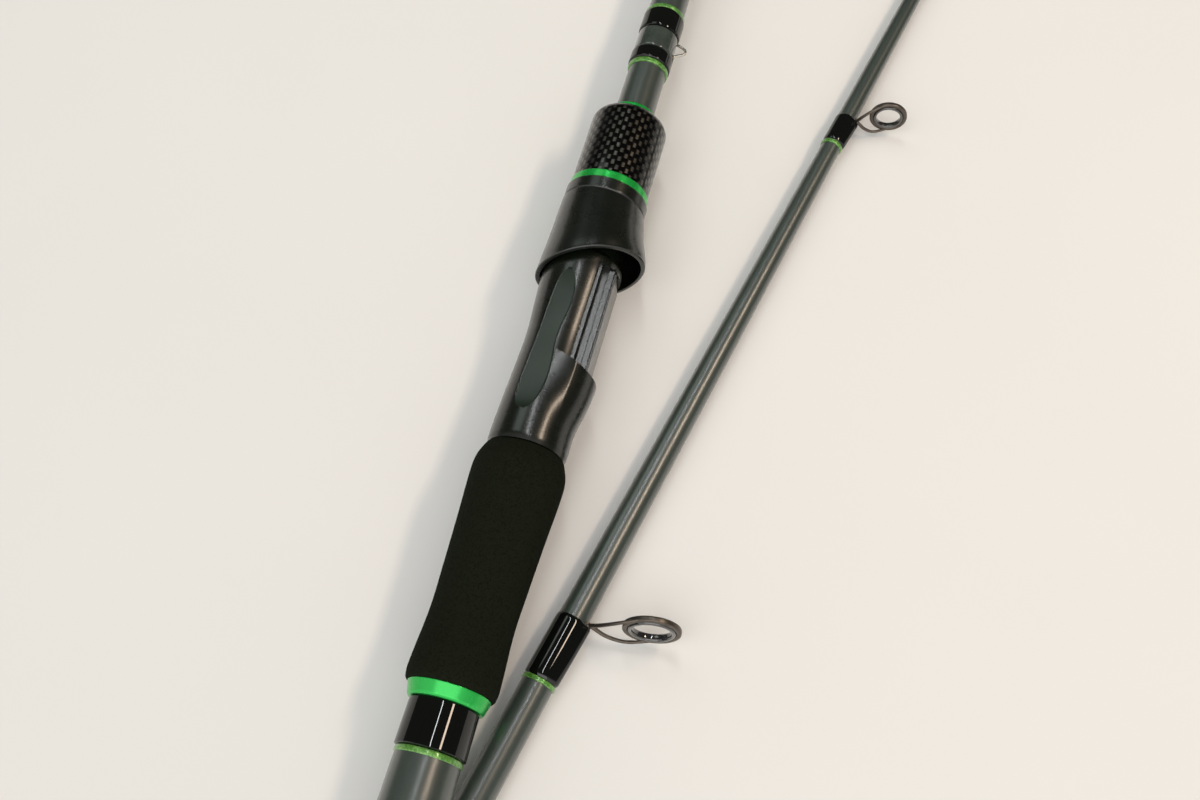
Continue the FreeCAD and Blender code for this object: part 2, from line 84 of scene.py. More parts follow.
# ---------------------------------------------------------------- material helpers
class Shader:
    """A material with one principled shader and short calls for the nodes that feed it."""

    def __init__(self, name, colour, roughness, metallic=0.0, coat=0.0, coat_roughness=0.03,
                 specular=0.5):
        self.material = bpy.data.materials.new(name)
        self.material.use_nodes = True
        self.tree = self.material.node_tree
        self.shader = self.tree.nodes["Principled BSDF"]
        self.put("Base Color", (*colour, 1.0))
        self.put("Roughness", roughness)
        self.put("Metallic", metallic)
        self.put("Coat Weight", coat)
        self.put("Coat Roughness", coat_roughness)
        self.put("Specular IOR Level", specular)

    def put(self, socket, value):
        self.shader.inputs[socket].default_value = value

    def node(self, kind, **settings):
        made = self.tree.nodes.new(kind)
        for key, value in settings.items():
            if key in made.inputs:
                made.inputs[key].default_value = value
            else:
                setattr(made, key, value)
        return made

    def join(self, source, target):
        self.tree.links.new(source, target)

    def math(self, operation, first, second=None):
        made = self.tree.nodes.new("ShaderNodeMath")
        made.operation = operation
        for socket, value in zip(made.inputs, (first, second)):
            if value is None:
                continue
            if isinstance(value, (int, float)):
                socket.default_value = value
            else:
                self.join(value, socket)
        return made.outputs[0]

    def noise(self, scale, detail=3.0, roughness=0.6, stretch=None):
        place = self.node("ShaderNodeTexCoord").outputs["Object"]
        if stretch:
            mapping = self.node("ShaderNodeMapping")
            mapping.inputs["Scale"].default_value = stretch
            self.join(place, mapping.inputs["Vector"])
            place = mapping.outputs["Vector"]
        made = self.node("ShaderNodeTexNoise", Scale=scale, Detail=detail, Roughness=roughness)
        self.join(place, made.inputs["Vector"])
        return made.outputs["Fac"]

    def around_along(self):
        """Distance round the piece and along it, in millimetres."""
        split = self.node("ShaderNodeSeparateXYZ")
        self.join(self.node("ShaderNodeUVMap", uv_map="skin").outputs["UV"], split.inputs[0])
        return split.outputs["X"], split.outputs["Y"]

    def thread(self, pitch):
        """A wave along the piece with one crest to each turn of thread, pitch in millimetres."""
        along = self.around_along()[1]
        return self.math("SINE", self.math("MULTIPLY", along, TURN / pitch))

    def ramp(self, value, stops, socket):
        """Colours or greys over value, into a socket of the shader."""
        made = self.node("ShaderNodeValToRGB")
        ramp = made.color_ramp
        while len(ramp.elements) < len(stops):
            ramp.elements.new(0.5)
        for element, (place, colour) in zip(ramp.elements, stops):
            element.position = place
            element.color = (*colour, 1.0) if isinstance(colour, tuple) else (colour,) * 3 + (1.0,)
        self.join(value, made.inputs["Fac"])
        self.join(made.outputs["Color"], self.shader.inputs[socket])

    def bump(self, height, depth, strength=1.0, coat=False):
        """Relief of this depth in millimetres."""
        made = self.node("ShaderNodeBump", Strength=strength, Distance=depth * MM)
        self.join(height, made.inputs["Height"])
        self.join(made.outputs["Normal"], self.shader.inputs["Normal"])
        if coat:
            self.join(made.outputs["Normal"], self.shader.inputs["Coat Normal"])


def grey_mix(dark, light):
    """Ramp stops from dark to light over the middle of a noise."""
    return [(0.3, dark), (0.7, light)]


def blank_material():
    made = Shader("blank_grey_green", (0.03, 0.042, 0.032), 0.38, coat=0.7, coat_roughness=0.25,
                  specular=1.0)
    made.ramp(made.noise(160.0, 4.0, stretch=(1.0, 0.25, 1.0)),
              grey_mix((0.026, 0.038, 0.03), (0.034, 0.047, 0.038)), "Base Color")
    made.ramp(made.noise(900.0, 2.0), grey_mix(0.32, 0.38), "Roughness")
    made.bump(made.noise(2600.0, 2.0), 0.01, 0.35)
    return made.material


def winding_material():
    """Black thread under thick clear resin."""
    made = Shader("winding_black", (0.004, 0.005, 0.004), 0.35, coat=1.0, coat_roughness=0.02,
                  specular=0.0)
    made.ramp(made.math("ADD", made.math("MULTIPLY", made.thread(0.22), 0.5), 0.5),
              [(0.0, (0.001, 0.0015, 0.001)), (1.0, (0.006, 0.007, 0.006))], "Base Color")
    made.bump(made.noise(140.0, 1.0), 0.03, 0.2, coat=True)
    return made.material


def green_thread_material():
    """Metallic green thread, turn beside turn."""
    made = Shader("thread_green", (0.1, 0.36, 0.05), 0.3, metallic=0.35, coat=0.8)
    thread = made.thread(0.25)
    glint = made.math("ADD", made.math("MULTIPLY", thread, 0.3), made.noise(1500.0, 2.0))
    made.ramp(glint, [(0.25, (0.03, 0.14, 0.012)), (0.6, (0.09, 0.32, 0.035)),
                      (0.9, (0.36, 0.68, 0.18))], "Base Color")
    made.bump(thread, 0.03, 0.5)
    return made.material


def anodised_material():
    made = Shader("aluminium_green", (0.015, 0.5, 0.07), 0.26, metallic=0.5, coat=0.3,
                  coat_roughness=0.1)
    brushed = made.noise(500.0, 2.0)
    made.ramp(brushed, grey_mix((0.013, 0.45, 0.062), (0.016, 0.5, 0.074)), "Base Color")
    made.ramp(brushed, grey_mix(0.24, 0.28), "Roughness")
    return made.material


def foam_material():
    """Closed-cell foam: fine open pores on a matte skin; the pores are sunk by the bump and also painted
    darker, a painted shade in their holes.
    """
    made = Shader("foam_black", (0.006, 0.006, 0.0055), 0.85, specular=0.03)
    cells = made.node("ShaderNodeTexVoronoi", Scale=2300.0)
    made.join(made.node("ShaderNodeTexCoord").outputs["Object"], cells.inputs["Vector"])
    pore_depth_and_shade = made.math("ADD", cells.outputs["Distance"], made.noise(900.0, 4.0))
    # painted shade: the deep pores are coloured darker
    made.ramp(pore_depth_and_shade, [(0.35, (0.003, 0.0035, 0.002)), (0.75, (0.006, 0.0072, 0.004)),
                      (1.0, (0.01, 0.012, 0.007))], "Base Color")
    made.bump(pore_depth_and_shade, 0.10, 0.5)
    return made.material


def rubber_material():
    made = Shader("rubber_black", (0.01, 0.01, 0.01), 0.7, specular=0.35)
    made.ramp(made.noise(700.0, 3.0), grey_mix((0.007, 0.007, 0.007), (0.016, 0.016, 0.015)),
              "Base Color")
    made.bump(made.noise(1800.0, 2.0), 0.05, 0.4)
    return made.material


def seat_material():
    """Soft-touch black moulding with a satin sheen."""
    made = Shader("seat_black", (0.004, 0.0055, 0.004), 0.28, coat=0.35, coat_roughness=0.18)
    made.ramp(made.noise(120.0, 3.0), grey_mix((0.002, 0.0035, 0.0015), (0.004, 0.006, 0.003)),
              "Base Color")
    made.ramp(made.noise(250.0, 2.0), grey_mix(0.26, 0.3), "Roughness")
    return made.material


def window_material():
    """The palm window of the seat: the same moulding, polished; its lighter grey-green ground is a
    painted reflection of the pale room, under the real gloss.
    """
    made = Shader("seat_window_painted_reflection", (0.012, 0.02, 0.015), 0.3, coat=0.4, coat_roughness=0.2,
                  specular=0.3)
    made.ramp(made.noise(150.0, 3.0), grey_mix((0.009, 0.0155, 0.01), (0.011, 0.0185, 0.012)),
              "Base Color")
    made.bump(made.noise(3000.0, 2.0), 0.002, 0.25)
    return made.material


def carbon_material():
    """Plain-weave carbon under clear coat: tows cross over and under in a checker."""
    made = Shader("carbon_weave", (0.03, 0.03, 0.03), 0.34, metallic=1.0, coat=0.6,
                  coat_roughness=0.05)
    cell = 1.6
    around, along = made.around_along()
    u = made.math("DIVIDE", around, cell)
    v = made.math("DIVIDE", along, cell)
    parity = made.math("FLOORED_MODULO", made.math("ADD", made.math("FLOOR", u),
                                                   made.math("FLOOR", v)), 2.0)
    across = made.math("ABSOLUTE", made.math("SINE", made.math("MULTIPLY", u, math.pi)))
    down = made.math("ABSOLUTE", made.math("SINE", made.math("MULTIPLY", v, math.pi)))
    other = made.math("SUBTRACT", 1.0, parity)
    tow = made.math("ADD", made.math("MULTIPLY", across, parity),
                    made.math("MULTIPLY", down, other))
    shade = made.math("MULTIPLY", tow, made.math("ADD", made.math("MULTIPLY", parity, 0.75), 0.2))
    made.ramp(shade, [(0.0, (0.001, 0.001, 0.001)), (0.35, (0.005, 0.005, 0.004)),
                      (0.95, (0.12, 0.115, 0.1))], "Base Color")
    made.bump(tow, 0.08, 0.5)
    return made.material


def steel_material():
    made = Shader("wire_steel", (0.55, 0.52, 0.47), 0.25, metallic=1.0)
    made.ramp(made.noise(800.0, 2.0), grey_mix((0.5, 0.47, 0.42), (0.6, 0.57, 0.52)), "Base Color")
    made.ramp(made.noise(1500.0, 2.0), grey_mix(0.2, 0.3), "Roughness")
    return made.material


def gunmetal_material():
    made = Shader("frame_gunmetal", (0.12, 0.1, 0.085), 0.36, metallic=0.85)
    made.ramp(made.noise(500.0, 3.0), grey_mix((0.1, 0.085, 0.07), (0.14, 0.12, 0.1)), "Base Color")
    made.ramp(made.noise(900.0, 2.0), grey_mix(0.32, 0.42), "Roughness")
    made.bump(made.noise(2500.0, 2.0), 0.01, 0.3)
    return made.material


def ceramic_material():
    made = Shader("ring_ceramic", (0.02, 0.02, 0.02), 0.07, coat=1.0, coat_roughness=0.02,
                  specular=0.8)
    made.ramp(made.noise(400.0, 2.0), grey_mix((0.012, 0.012, 0.012), (0.03, 0.03, 0.028)),
              "Base Color")
    made.bump(made.noise(900.0, 1.0), 0.006, 0.2)
    return made.material


def resin_material():
    """Clear resin over the blank: the blank's colour under a wet gloss."""
    made = Shader("resin_clear", (0.04, 0.052, 0.043), 0.25, coat=1.0, coat_roughness=0.02)
    made.ramp(made.noise(200.0, 3.0), grey_mix((0.03, 0.042, 0.033), (0.05, 0.062, 0.052)),
              "Base Color")
    made.bump(made.noise(180.0, 1.0), 0.06, 0.3, coat=True)
    return made.material


def floor_material():
    made = Shader("table_white", (0.81, 0.8, 0.775), 0.55, specular=0.3)
    made.ramp(made.noise(5.0, 3.0), grey_mix((0.8, 0.79, 0.765), (0.82, 0.81, 0.785)),
              "Base Color")
    made.bump(made.noise(900.0, 2.0), 0.02, 0.2)
    return made.material


LOOKS = {
    "blank": blank_material(), "winding": winding_material(), "thread": green_thread_material(),
    "green": anodised_material(), "foam": foam_material(), "rubber": rubber_material(),
    "seat": seat_material(), "window": window_material(), "carbon": carbon_material(),
    "metal": gunmetal_material(), "steel": steel_material(), "ceramic": ceramic_material(),
    "resin": resin_material(), "floor": floor_material(),
}


# ---------------------------------------------------------------- mesh helpers
def value_at(points, y):
    """Straight-line value at y through (y, value) points."""
    for (y0, r0), (y1, r1) in zip(points, points[1:]):
        if y <= y1:
            return r0 + (r1 - r0) * (y - y0) / (y1 - y0)
    return points[-1][1]


def smooth_at(points, y):
    """Smooth value at y through (y, value) points."""
    y = min(max(y, points[0][0]), points[-1][0])
    last = len(points) - 2
    index = min(sum(1 for p in points[1:-1] if p[0] <= y), last)
    (y0, r0), (y1, r1) = points[index], points[index + 1]
    before, after = points[max(index - 1, 0)], points[min(index + 2, last + 1)]
    slope0 = (r1 - before[1]) / (y1 - before[0])
    slope1 = (after[1] - r0) / (after[0] - y0)
    span = y1 - y0
    t = (y - y0) / span
    return ((2 * t ** 3 - 3 * t ** 2 + 1) * r0 + (t ** 3 - 2 * t ** 2 + t) * span * slope0
            + (3 * t ** 2 - 2 * t ** 3) * r1 + (t ** 3 - t ** 2) * span * slope1)


def steps(start, end, count):
    """Evenly spaced values from start to end, both included."""
    return [start + (end - start) * i / count for i in range(count + 1)]


def rounded(outline, radius, count=4):
    """The outline with its corners cut to arcs, each held by a point on either side."""
    points = []
    total = len(outline)
    for i, corner in enumerate(outline):
        here = Vector(corner)
        back = Vector(outline[i - 1]) - here
        ahead = Vector(outline[(i + 1) % total]) - here
        reach = min(radius, back.length * 0.4, ahead.length * 0.4)
        start, end = here + back.normalized() * reach, here + ahead.normalized() * reach
        points.append(start + back.normalized() * reach * 0.3)
        for k in range(count + 1):
            t = k / count
            points.append(start * (1 - t) ** 2 + here * 2 * t * (1 - t) + end * t ** 2)
        points.append(end + ahead.normalized() * reach * 0.3)
    return [tuple(p) for p in points]


def skin(name, rings, place, look, loop=False, caps=False, sharp=40.0):
    """One closed skin through rings of equal point count, with distances round and along as UV."""
    mesh = bpy.data.meshes.new(name)
    count = len(rings[0])
    points = [Vector(p) for ring in rings for p in ring]
    rows = len(rings) if loop else len(rings) - 1
    faces, along = [], [0.0]
    for ring, following in zip(rings, rings[1:] + rings[:1]):
        along.append(along[-1] + (Vector(following[0]) - Vector(ring[0])).length)
    girth = max(sum((Vector(a) - Vector(b)).length for a, b in zip(ring, ring[1:] + ring[:1]))
                for ring in rings)
    uvs = []
    for i in range(rows):
        low, high = i * count, ((i + 1) % len(rings)) * count
        for j in range(count):
            k = (j + 1) % count
            faces.append((low + j, low + k, high + k, high + j))
            left, right = girth * j / count, girth * (j + 1) / count
            uvs.append([(left, along[i]), (right, along[i]), (right, along[i + 1]),
                        (left, along[i + 1])])
    if caps:
        faces.append(tuple(reversed(range(count))))
        faces.append(tuple(range(len(points) - count, len(points))))
        uvs += [[(0.0, 0.0)] * count] * 2
    mesh.from_pydata([place @ p for p in points], [], faces)
    layer = mesh.uv_layers.new(name="skin")
    for polygon, corners in zip(mesh.polygons, uvs):
        polygon.use_smooth = True
        for loop_index, uv in zip(polygon.loop_indices, corners):
            layer.data[loop_index].uv = uv
    tidy_mesh(mesh, sharp)
    mesh.materials.append(LOOKS[look])
    piece = bpy.data.objects.new(name, mesh)
    bpy.context.scene.collection.objects.link(piece)
    return piece


def tidy_mesh(mesh, sharp):
    """Welds doubled points, faces the skin outwards and marks the sharp edges."""
    shape = bmesh.new()
    shape.from_mesh(mesh)
    bmesh.ops.remove_doubles(shape, verts=shape.verts, dist=1e-7)
    bmesh.ops.recalc_face_normals(shape, faces=shape.faces)
    for edge in shape.edges:
        edge.smooth = not (edge.is_manifold and edge.calc_face_angle() > math.radians(sharp))
    shape.to_mesh(mesh)
    shape.free()


def circle(y, radius, count=96):
    return [(radius * math.cos(TURN * j / count), y, radius * math.sin(TURN * j / count))
            for j in range(count)]


def lathe(name, outline, place, look, count=96, corner=0.15):
    """A closed ring-shaped solid from its (y, radius) outline."""
    if corner:
        outline = rounded(outline, corner)
    return skin(name, [circle(y, r, count) for y, r in outline], place, look, loop=True)


def tube_along(name, points, radii, place, look, count=16, samples=12):
    """A round wire through the points, thickness from radii, ends closed."""
    path, thick = [], []
    knots = [Vector(p) for p in points]
    for i in range(len(knots) - 1):
        before = knots[i - 1] if i else knots[0] * 2 - knots[1]
        after = knots[i + 2] if i + 2 < len(knots) else knots[-1] * 2 - knots[-2]
        a, b = knots[i], knots[i + 1]
        for k in range(samples):
            t = k / samples
            path.append(0.5 * (2 * a + (b - before) * t + (2 * before - 5 * a + 4 * b - after) * t ** 2
                               + (3 * a - before - 3 * b + after) * t ** 3))
            thick.append(radii[i] + (radii[i + 1] - radii[i]) * t)
    path.append(knots[-1])
    thick.append(radii[-1])
    side = Vector((0, 0, 1))
    rings = []
    for i, here in enumerate(path):
        ahead = (path[min(i + 1, len(path) - 1)] - path[max(i - 1, 0)]).normalized()
        side = (side - ahead * side.dot(ahead)).normalized()
        other = ahead.cross(side)
        rings.append([here + (side * math.cos(TURN * j / count) + other * math.sin(TURN * j / count))
                      * thick[i] for j in range(count)])
    return skin(name, rings, place, look, caps=True)


def join(name, pieces):
    """One object out of several; material slots are kept."""
    target = pieces[0]
    with bpy.context.temp_override(active_object=target, selected_editable_objects=pieces):
        bpy.ops.object.join()
    target.name = name
    return target


def finish_piece(piece, body, slot, *nodes):
    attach(piece, body)
    if nodes:
        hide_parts(*nodes)


# ---------------------------------------------------------------- camera, light and floor
def look_along(thing, direction):
    thing.rotation_mode = "QUATERNION"
    thing.rotation_quaternion = Vector(direction).to_track_quat("-Z", "Y")


def make_camera():
    azimuth, depression = math.radians(15.126), math.radians(64.483)
    data = bpy.data.cameras.new("camera")
    data.sensor_width = 36.0
    data.lens = 40.5
    data.clip_start = 0.01
    camera = bpy.data.objects.new("camera", data)
    camera.location = (0.058245, 0.145673, 0.342859)
    look_along(camera, (-math.sin(azimuth) * math.cos(depression),
                        math.cos(azimuth) * math.cos(depression), -math.sin(depression)))
    bpy.context.scene.collection.objects.link(camera)
    bpy.context.scene.camera = camera


def area_light(name, position, aim, long_axis, size, radiance, colour):
    """A rectangle of even light that faces aim; size is its width and its length along long_axis."""
    data = bpy.data.lights.new(name, "AREA")
    data.shape = "RECTANGLE"
    data.size, data.size_y = size
    data.energy = radiance * math.pi * size[0] * size[1]
    data.color = colour
    back = (Vector(position) - Vector(aim)).normalized()
    upright = Vector(long_axis)
    upright = (upright - back * upright.dot(back)).normalized()
    light = bpy.data.objects.new(name, data)
    light.location = position
    light.rotation_mode = "QUATERNION"
    light.rotation_quaternion = Matrix((upright.cross(back), upright, back)).transposed().to_quaternion()
    bpy.context.scene.collection.objects.link(light)


def make_room():
    """Even light from behind the viewer and a dark room ahead, so that black parts stay black."""
    world = bpy.data.worlds.new("room")
    world.use_nodes = True
    nodes, links = world.node_tree.nodes, world.node_tree.links
    background = nodes["Background"]
    background.inputs["Color"].default_value = (1.0, 0.985, 0.965, 1.0)
    facing = nodes.new("ShaderNodeVectorMath")
    facing.operation = "DOT_PRODUCT"
    facing.inputs[1].default_value = (-0.08, -0.997, 0.0)
    links.new(nodes.new("ShaderNodeTexCoord").outputs["Generated"], facing.inputs[0])
    fade = nodes.new("ShaderNodeMapRange")
    fade.interpolation_type = "SMOOTHSTEP"
    for socket, value in (("From Min", 0.0), ("From Max", 0.4), ("To Min", 0.06), ("To Max", 1.05)):
        fade.inputs[socket].default_value = value
    links.new(facing.outputs["Value"], fade.inputs["Value"])
    links.new(fade.outputs["Result"], background.inputs["Strength"])
    bpy.context.scene.world = world


def make_light():
    middle = (0.0, 0.3, 0.0)
    across, along, strip_axis = (1, 0, 0), (0, 1, 0), (-0.25, 0.57, 0.0)
    lights = [
        ("behind", (0.05, -0.75, 1.6), across, (1.2, 2.4), 1.5, (1.0, 0.985, 0.97)),
        ("ceiling_strip", (-0.077, 0.757, 1.35), strip_axis, (0.045, 0.86), 26.0, (0.97, 0.99, 1.0)),
        ("window", (0.745, 0.67, 1.065), along, (0.14, 0.6), 20.0, (1.0, 0.8, 0.62)),
        ("left_wall", (-0.76, 0.95, 1.05), along, (0.5, 0.5), 1.6, (0.88, 1.0, 0.93)),
    ]
    for name, position, long_axis, size, radiance, colour in lights:
        area_light(name, position, middle, long_axis, size, radiance, colour)
    make_room()
    bpy.context.scene.view_settings.view_transform = "Standard"


def make_floor():
    mesh = bpy.data.meshes.new("floor")
    reach, gap = 6.0, 0.00005
    corners = [(-reach, -reach), (reach, -reach), (reach, reach), (-reach, reach)]
    mesh.from_pydata([(x, y, TABLE_Z * MM - gap) for x, y in corners], [], [(0, 1, 2, 3)])
    mesh.materials.append(LOOKS["floor"])
    floor = bpy.data.objects.new("floor", mesh)
    bpy.context.scene.collection.objects.link(floor)


# ---------------------------------------------------------------- blanks
def make_blanks():
    wall, chamfer = 1.1, 0.4
    outer = BUTT_BLANK + [(FERRULE_START, 4.45), (FERRULE_START, FERRULE_RADIUS),
                          (BUTT_LENGTH - chamfer, FERRULE_RADIUS),
                          (BUTT_LENGTH, FERRULE_RADIUS - chamfer)]
    inner = [(BUTT_LENGTH, FERRULE_RADIUS - wall)]
    inner += [(y, r - wall) for y, r in reversed(BUTT_BLANK)]
    finish_piece(lathe("butt_tube", outer + inner, BUTT, "blank", corner=0), "butt_section",
                 "blank", "butt_blank")
    socket, mouth = FERRULE_RADIUS + 0.04, 0.3
    outer = [(0.0, 4.7), (mouth, 4.98)] + TIP_BLANK[1:]
    inner = [(TIP_BLANK_END, 0.4), (SOCKET_DEPTH, 2.6), (SOCKET_DEPTH, socket), (mouth, socket),
             (0.0, 4.3)]
    finish_piece(lathe("tip_tube", outer + inner, TIP, "blank", corner=0), "tip_section",
                 "blank", "tip_blank")


# ---------------------------------------------------------------- handle
def make_grips():
    cap = [(0.0, 0.05), (0.0, 13.0), (1.2, 15.2), (3.5, 16.4), (14.0, 16.8), (14.0, 0.05)]
    finish_piece(lathe("cap", cap, BUTT, "rubber", corner=0.8), "butt_section", "cap_rubber",
                 "butt_cap")
    knob = [(14.0, 17.2), (24.0, 18.0), (42.0, 17.0), (62.0, 14.9), (82.0, 13.6), (97.0, 13.0)]
    foam_piece("grip_knob", knob, 9.0, 40, "butt_grip")
    ring = [(97.0, 8.9), (97.0, 12.2), (100.0, 10.9), (100.0, 8.9)]
    finish_piece(lathe("grip_knob_ring", ring, BUTT, "green", corner=0.3), "butt_section",
                 "green_aluminium", "butt_grip_ring")
    rear = [(214.0, 11.9), (217.0, 12.35), (233.5, 11.55), (246.0, 11.9), (259.0, 12.4),
            (272.8, 13.05), (277.5, 12.8), (282.0, 11.2)]
    foam_piece("grip_rear", rear, 8.5, 60, "rear_grip")
    ring = [(210.2, 8.6), (210.2, 9.9), (210.7, 10.3), (214.0, 11.2), (214.0, 8.6)]
    finish_piece(lathe("grip_rear_ring", ring, BUTT, "green", corner=0.2), "butt_section",
                 "green_aluminium", "rear_grip_ring")


def foam_piece(name, rim, bore, count, node):
    """Foam grip with rounded rims."""
    ease = 0.7
    start, end = rim[0][0], rim[-1][0]
    outline = [(start, bore), (start, rim[0][1] - ease), (start + 0.25, rim[0][1] - 0.2)]
    outline += [(y, smooth_at(rim, y)) for y in steps(start + ease, end - ease, count)]
    outline += [(end - 0.25, rim[-1][1] - 0.1), (end, rim[-1][1] - ease), (end, bore)]
    finish_piece(lathe(name, outline, BUTT, "foam", count=128, corner=0), "butt_section", "foam",
                 node)


# ---------------------------------------------------------------- reel seat
# Outlines are (station, value).  Columns run along the seat's skin, named by their angle in degrees
# from the reel side, before column_angle moves them on to the edges of the body and the window.
SEAT_RIM = [(SEAT_START, 10.9), (284.0, 11.3), (294.0, 11.1), (306.0, 10.6), (318.0, 10.3),
            (329.0, 11.0), (338.0, 11.5), (SEAT_NECK, 11.3)]
SEAT_BORE = 8.2
LIP_ROW = 311.76             # the fixed hood's mouth lies on the slanted row y = LIP_ROW - slope * x
LIP_SLOPE = 0.42
LIP_RADIUS = 11.0
PLATFORM_BACK = 299.0
PLATFORM_TOP = 10.6
PLATFORM_HALF = 7.2
PLATFORM_FRONT = 341.8
LEDGE = (5.2, 9.0)           # inner corner (x, z) of the ledge beside the platform
BODY_EDGE = 6.2              # the body stops at this x where the platform stands
HOOD_CENTRES = [(SEAT_START, 0.0), (286.0, 0.05), (292.0, 0.35), (300.0, 1.75), (306.5, 2.4),
                (320.0, 2.4)]
HOOD_RADII = [(SEAT_START, 10.9), (286.0, 11.05), (300.0, 11.1), (320.0, 11.1)]
WINDOW = (291.0, 336.5)      # stations of the palm window's ends
WINDOW_DEPTH = 0.12
COLUMN = 1.25                # degrees between columns
EDGE_COLUMN, LEDGE_COLUMN, WALL_COLUMN = 53.75, 60.0, 61.25
WINDOW_RIGHT, WINDOW_LEFT = 86.25, 121.25
FREE_COLUMN = 158.0          # from here on a column keeps its own angle
END_EASE = {SEAT_START: 0.35, LIP_ROW: 0.12, BARREL_FRONT: 0.4}    # rounds these rows' edges

# moving hood
MOUTH = 342.7                # station of the middle of its mouth
MOUTH_CENTRE = 1.9           # the mouth's middle stands this far to the reel side
MOUTH_RADIUS = 15.3
MOUTH_SLOPE = 0.366
HOOD_FRONT = 364.7
HOOD_SHOULDER = 361.0        # the inside narrows from the mouth up to here
HOOD_BORE = 10.15            # clears the barrel
PALM_BORE = 12.0             # clears the seat's palm side, as far as PALM_END
PALM_END = 352.5

# lock nut, trim ring, carbon sleeve and nose ring
NUT_BACK, COLLAR_FRONT, TRIM_FRONT = 364.75, 368.8, 371.6
SLEEVE_SHOULDER, SLEEVE_FRONT, NOSE_FRONT = 395.2, 398.8, 401.6
NUT_RADIUS, COLLAR_RADIUS = 11.1, 12.6


def window_limits(y):
    """Angles of the palm window's two edges at station y; they close in at its two ends."""
    start, end = WINDOW
    near = min(max(y, start), end)
    wave, crest, wave_length = 2.6, 315.0, 24.0
    right = 86.3 + wave * math.cos(TURN * (near - crest) / wave_length)
    taper = 12.5
    left = 126.0 - taper * ((near - start) / (end - start)) ** 2.5
    t = (2 * near - start - end) / (end - start)
    open_share = max(0.22, max(0.0, 1.0 - abs(t) ** 10) ** 0.5)
    if y != near:
        open_share += (1.0 - open_share) * min(1.0, abs(y - near) / 4.0)
    middle, half = (left + right) / 2, (left - right) / 2 * open_share
    return middle - half, middle + half


def column_angle(column, y):
    """The angle of a column at station y: the body's edges and the window's follow columns."""
    right, left = window_limits(y)
    inner, height = LEDGE
    edge = math.degrees(math.atan2(height, BODY_EDGE))
    ledge = math.degrees(math.atan2(height, inner))
    wall = math.degrees(math.acos(inner / smooth_at(SEAT_RIM, y)))
    stops = [(EDGE_COLUMN, edge), (LEDGE_COLUMN, ledge), (WALL_COLUMN, max(wall, ledge + 0.2))]
    if column < 0:
        return -value_at([(0.0, 0.0)] + stops + [(180.0, 180.0)], -column)
    return value_at([(0.0, 0.0)] + stops + [(WINDOW_RIGHT, right), (WINDOW_LEFT, left),
                                            (FREE_COLUMN, FREE_COLUMN), (180.0, 180.0)], column)


def seat_radius(y, column, angle, behind_lip):
    """Outer radius of the seat body at station y and angle (0 is the reel side, 90 is up)."""
    theta = math.radians(angle)
    radius = smooth_at(SEAT_RIM, y)
    if y > SEAT_NECK:
        radius = max(BARREL_RADIUS, smooth_at(SEAT_RIM, SEAT_NECK) - (y - SEAT_NECK) * 0.8)
    if behind_lip:
        centre, bulge = smooth_at(HOOD_CENTRES, y), smooth_at(HOOD_RADII, y)
        hood = centre * math.cos(theta) + math.sqrt(bulge ** 2 - (centre * math.sin(theta)) ** 2)
        share = lip_share(theta) * min(1.0, (y - SEAT_START) / 8.0)
        excess, softness = hood - radius, 0.1
        radius += share * 0.5 * (excess + math.sqrt(excess ** 2 + softness))
    elif y < PLATFORM_FRONT and abs(column) < WALL_COLUMN - 0.01:
        radius = min(BODY_EDGE / math.cos(theta), LEDGE[1] / max(0.1, math.sin(abs(theta))))
    right, left = window_limits(y)
    if WINDOW[0] < y < WINDOW[1] and WINDOW_RIGHT < column < WINDOW_LEFT:
        radius = faceted(radius, angle, right, left) - WINDOW_DEPTH
    return radius


def faceted(radius, angle, low, high):
    """The radius where the surface runs straight across between two angles."""
    middle, half = (low + high) / 2, (high - low) / 2
    return radius * min(1.0, math.cos(math.radians(half)) / math.cos(math.radians(angle - middle)))


def seat_rows():
    """Row stations, each with whether it lies behind the fixed hood's lip; close at the edges."""
    behind = [SEAT_START, SEAT_START + 0.15, SEAT_START + 0.5] + steps(283.0, 311.0, 84)
    behind += [311.3, 311.55, LIP_ROW - 0.06, LIP_ROW]
    ahead = [LIP_ROW + 0.02, 311.95, 312.3] + steps(313.0, PLATFORM_FRONT - 0.01, 86)
    ahead += [PLATFORM_FRONT + 0.01, 343.0, SEAT_NECK, 344.8, 345.6, 346.2, 350.0]
    ahead += [BARREL_FRONT - 0.4, BARREL_FRONT]
    return [(y, True) for y in behind] + [(y, False) for y in ahead]


def lip_share(theta):
    """How much of the fixed hood stands out at this angle: all on the reel side, none on top."""
    return min(1.0, max(0.0, (math.cos(theta) - 0.1) / 0.5))


def slant_at(row):
    """How far a row follows the slant of the fixed hood's mouth."""
    full, fade = 1.5, 17.0
    t = min(1.0, max(0.0, (abs(row - LIP_ROW) - full) / fade))
    return 1.0 - t * t * (3 - 2 * t)


